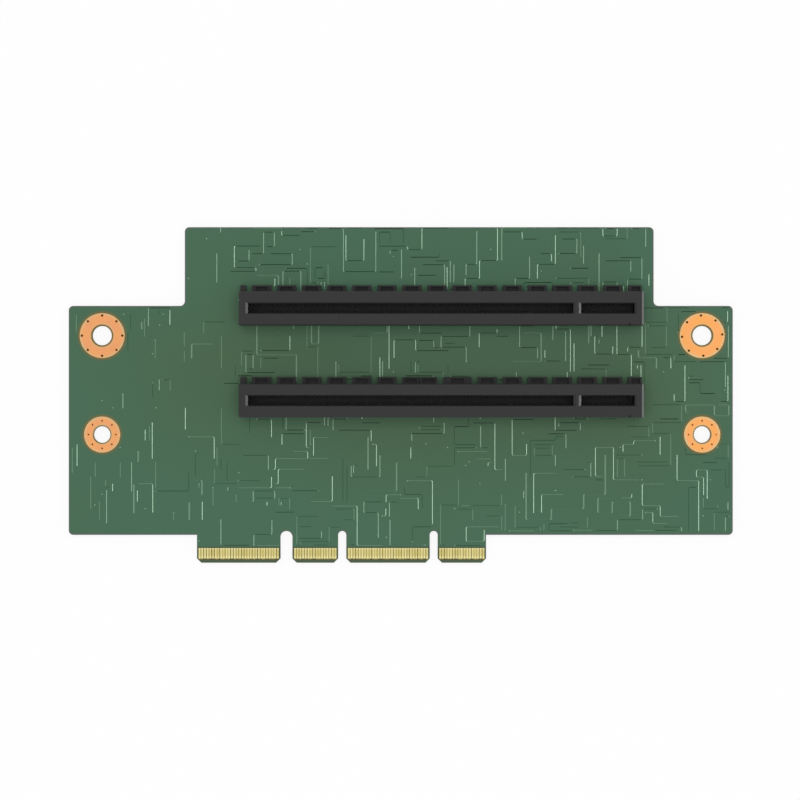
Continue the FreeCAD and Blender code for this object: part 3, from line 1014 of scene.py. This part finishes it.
def chamber_ribs(slot, material):
    """Thin walls between the contacts of one slot."""
    settings = bpy.context.scene.riser_chambers
    housing_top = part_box("slot_housing_" + slot)[1].z
    row_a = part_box("slot_contacts_" + slot + "_long_row_a")
    row_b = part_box("slot_contacts_" + slot + "_long_row_b")
    middle = (row_a[0].y + row_b[1].y) / 2
    low_z = FRONT + settings.floor
    high_z = housing_top - settings.rim
    combs = []
    for section in SECTIONS:
        for letter, side in ROWS.items():
            low, _, count = contact_row(slot, section, letter)
            gap = low.x + settings.contact_width / 2 + settings.pitch / 2
            near = middle + side * settings.card_space / 2
            far = near + side * settings.depth
            rib = block(
                (gap - settings.rib / 2, min(near, far), low_z),
                (gap + settings.rib / 2, max(near, far), high_z),
            )
            bpy.ops.object.mode_set(mode="EDIT")
            pick(rib, "edges", lambda part: all(
                abs(corner.co.y - near) < NEAR for corner in part.verts
            ) and abs(part.verts[0].co.x - part.verts[1].co.x) < NEAR)
            bpy.ops.mesh.bevel(offset=settings.rib * 0.3, segments=1)
            bpy.ops.object.mode_set(mode="OBJECT")
            run_modifier(
                rib, "ARRAY", count=count - 1, use_relative_offset=False,
                use_constant_offset=True, constant_offset_displace=(settings.pitch, 0, 0),
            )
            combs.append(rib)
    hand_over(joined(combs), "slot_chamber_ribs_" + slot, material)


def feet_joints(slot, material):
    """Solder and copper lands where one slot's contacts stand on the board."""
    settings = bpy.context.scene.riser_solder
    chambers = bpy.context.scene.riser_chambers
    solder = []
    for section in SECTIONS:
        for letter, side in ROWS.items():
            low, high, count = contact_row(slot, section, letter)
            toe = low.y if side < 0 else high.y
            left = low.x - SPARE
            right = low.x + chambers.contact_width + SPARE
            tip = toe + side * settings.reach
            heel = toe - side * settings.reach * 0.5
            fillet = block(
                (left, min(heel, tip), FRONT + settings.land_thickness),
                (right, max(heel, tip), FRONT + settings.land_thickness + settings.height),
            )
            bpy.ops.object.mode_set(mode="EDIT")
            pick(fillet, "edges", lambda part: all(
                abs(corner.co.y - tip) < NEAR and corner.co.z > FRONT + settings.height * 0.9
                for corner in part.verts
            ))
            bpy.ops.mesh.bevel(offset=settings.height * 0.95, segments=3, profile=0.3)
            bpy.ops.object.mode_set(mode="OBJECT")
            root = tip - side * settings.land_length
            land = block(
                (left - SPARE, min(root, tip), FRONT),
                (right + SPARE, max(root, tip), FRONT + settings.land_thickness),
            )
            foot = joined([land, fillet])
            run_modifier(
                foot, "ARRAY", count=count, use_relative_offset=False,
                use_constant_offset=True, constant_offset_displace=(chambers.pitch, 0, 0),
            )
            solder.append(foot)
    hand_over(joined(solder), "slot_solder_" + slot, material)


# ---- stage ------------------------------------------------------------------
CARD_MIDDLE = Vector((0, 0, 0))
OVERHEAD_PLACE = (0, 0, 1.4)
OVERHEAD_SIZE = (0.7, 0.7)
SHEEN_PLACE = (0.8, 0, 0.16)
SHEEN_SIZE = (0.9, 0.32)
FLOOR_SIZE = 6
FLOOR_GAP = 0.06 * MM                   # room under the board for the tracks of its back
FLOOR_WHITE = 0.8                       # how much of the floor's look is plain white


def softbox(name, place, size, power):
    """Area lamp at a place, turned towards the card's middle."""
    deselect()
    bpy.ops.object.light_add(type="AREA", location=place)
    lamp = bpy.context.object
    lamp.name = name
    lamp.data.shape = "RECTANGLE"
    lamp.data.size, lamp.data.size_y = size
    lamp.data.energy = power
    lamp.rotation_euler = (CARD_MIDDLE - Vector(place)).to_track_quat("-Z", "Y").to_euler()
    lamp.visible_camera = False
    return lamp


def seen(shader):
    """1 for what the camera, a mirror or glass sees directly, and 0 for light on the way."""
    view = shader.node("ShaderNodeLightPath", output="Is Camera Ray")
    mirror = shader.node("ShaderNodeLightPath", output="Is Glossy Ray")
    glass = shader.node("ShaderNodeLightPath", output="Is Transmission Ray")
    return (view + mirror + glass).between(0, 1)


def white_sky(strength):
    """World that lights softly and looks white."""
    world = bpy.data.worlds.new("studio")
    world.use_nodes = True
    shader = Shader(world.node_tree)
    level = strength + seen(shader) * (1 - strength)
    sky = shader.node("ShaderNodeBackground", None, {"Color": (1, 1, 1, 1), "Strength": level})
    shader.node("ShaderNodeOutputWorld", None, {"Surface": sky})
    bpy.context.scene.world = world


def floor_finish(shade):
    """Pale floor that looks white but keeps some of the card's shadow."""
    material, shader = finish("studio_floor")
    paint = shader.node("ShaderNodeBsdfDiffuse", None, {"Color": (*shade, 1)})
    glow = shader.node("ShaderNodeEmission", None, {"Color": (1, 1, 1, 1), "Strength": 1.0})
    both = shader.node("ShaderNodeMixShader", None, {0: seen(shader) * FLOOR_WHITE, 1: paint, 2: glow})
    shader.node("ShaderNodeOutputMaterial", None, {"Surface": both})
    return material


# ---- operators --------------------------------------------------------------
class RISER_OT_finish_card(bpy.types.Operator):
    """Give the board, fingers, housings and contacts their finishes"""
    bl_idname = "riser.finish_card"
    bl_label = "Finish Card"
    bl_options = {"REGISTER", "UNDO"}

    def execute(self, context):
        finishes = {
            "circuit_board": board_finish(),
            "edge_fingers": gold_finish(),
            "slot_housing": housing_finish(),
            "slot_contacts": contact_finish(),
        }
        for name, node in NODES.items():
            for kind, material in finishes.items():
                if name.startswith(kind):
                    node.material_slots[0].material = material
        return {"FINISHED"}


class RISER_OT_add_tracks(bpy.types.Operator):
    """Route the tracks and covered vias on both faces of the board, and edge them with a bare rim"""
    bl_idname = "riser.add_tracks"
    bl_label = "Add Tracks"
    bl_options = {"REGISTER", "UNDO"}

    def execute(self, context):
        material = track_finish()
        laminate = rim_finish()
        for face in FACES:
            tracks, vias = routes(face, context.scene.riser_tracks)
            board_tracks(face, tracks, material)
            covered_vias(face, vias, material)
            bare_rim(face, laminate)
        return {"FINISHED"}


class RISER_OT_add_screw_pads(bpy.types.Operator):
    """Make the copper rings round the screw holes, with their vias"""
    bl_idname = "riser.add_screw_pads"
    bl_label = "Add Screw Pads"
    bl_options = {"REGISTER", "UNDO"}

    def execute(self, context):
        copper = copper_finish()
        resin = via_finish()
        for face in FACES:
            nodes = sorted(name for name in NODES if name.startswith("screw_pad_") and name.endswith(face))
            via_plugs(face, [screw_pad(node, copper) for node in nodes], resin)
        return {"FINISHED"}


class RISER_OT_add_chamber_ribs(bpy.types.Operator):
    """Make the thin walls between the contacts inside both slots"""
    bl_idname = "riser.add_chamber_ribs"
    bl_label = "Add Chamber Ribs"
    bl_options = {"REGISTER", "UNDO"}

    def execute(self, context):
        for slot in SLOTS:
            chamber_ribs(slot, bpy.data.materials["housing_black"])
        return {"FINISHED"}


class RISER_OT_add_solder(bpy.types.Operator):
    """Make the solder and the lands under the contacts' feet"""
    bl_idname = "riser.add_solder"
    bl_label = "Add Solder"
    bl_options = {"REGISTER", "UNDO"}

    def execute(self, context):
        material = solder_finish()
        for slot in SLOTS:
            feet_joints(slot, material)
        return {"FINISHED"}


class RISER_OT_set_stage(bpy.types.Operator):
    """Set up the floor, the lamps and the camera"""
    bl_idname = "riser.set_stage"
    bl_label = "Set Stage"
    bl_options = {"REGISTER", "UNDO"}

    def execute(self, context):
        settings = context.scene.riser_stage
        deselect()
        bpy.ops.mesh.primitive_plane_add(size=FLOOR_SIZE, location=(0, 0, BACK - FLOOR_GAP))
        floor = context.object
        floor.name = "studio_floor"
        floor.data.materials.append(floor_finish(settings.floor))

        white_sky(settings.sky)
        overhead = softbox("overhead", OVERHEAD_PLACE, OVERHEAD_SIZE, settings.overhead)
        overhead.visible_glossy = False
        sheen = softbox("sheen_right", SHEEN_PLACE, SHEEN_SIZE, settings.side)
        sheen.visible_diffuse = False

        place = (settings.camera_x, settings.camera_y, FRONT + settings.camera_height)
        bpy.ops.object.camera_add(location=place, rotation=(0, 0, 0))
        camera = context.object
        camera.data.lens = settings.lens
        camera.data.clip_start = 0.01
        context.scene.camera = camera
        context.scene.view_settings.view_transform = "Standard"
        return {"FINISHED"}


class RISER_PT_card(bpy.types.Panel):
    bl_idname = "RISER_PT_card"
    bl_label = "Riser Card"
    bl_space_type = "VIEW_3D"
    bl_region_type = "UI"
    bl_category = "Riser Card"

    def draw(self, context):
        for step in STEPS:
            self.layout.operator(step.bl_idname)
        for name, group in SETTINGS.items():
            box = self.layout.box()
            for size in group.__annotations__:
                box.prop(getattr(context.scene, name), size)


STEPS = (
    RISER_OT_finish_card,
    RISER_OT_add_tracks,
    RISER_OT_add_screw_pads,
    RISER_OT_add_chamber_ribs,
    RISER_OT_add_solder,
    RISER_OT_set_stage,
)
CLASSES = (*SETTINGS.values(), *STEPS, RISER_PT_card)


def register():
    for made in CLASSES:
        bpy.utils.register_class(made)
    for name, group in SETTINGS.items():
        setattr(bpy.types.Scene, name, PointerProperty(type=group))


def unregister():
    for name in SETTINGS:
        delattr(bpy.types.Scene, name)
    for made in reversed(CLASSES):
        bpy.utils.unregister_class(made)


def main():
    register()
    bpy.ops.riser.finish_card()
    bpy.ops.riser.add_tracks()
    bpy.ops.riser.add_screw_pads()
    bpy.ops.riser.add_chamber_ribs()
    bpy.ops.riser.add_solder()
    bpy.ops.riser.set_stage()


if __name__ == "__main__":
    main()
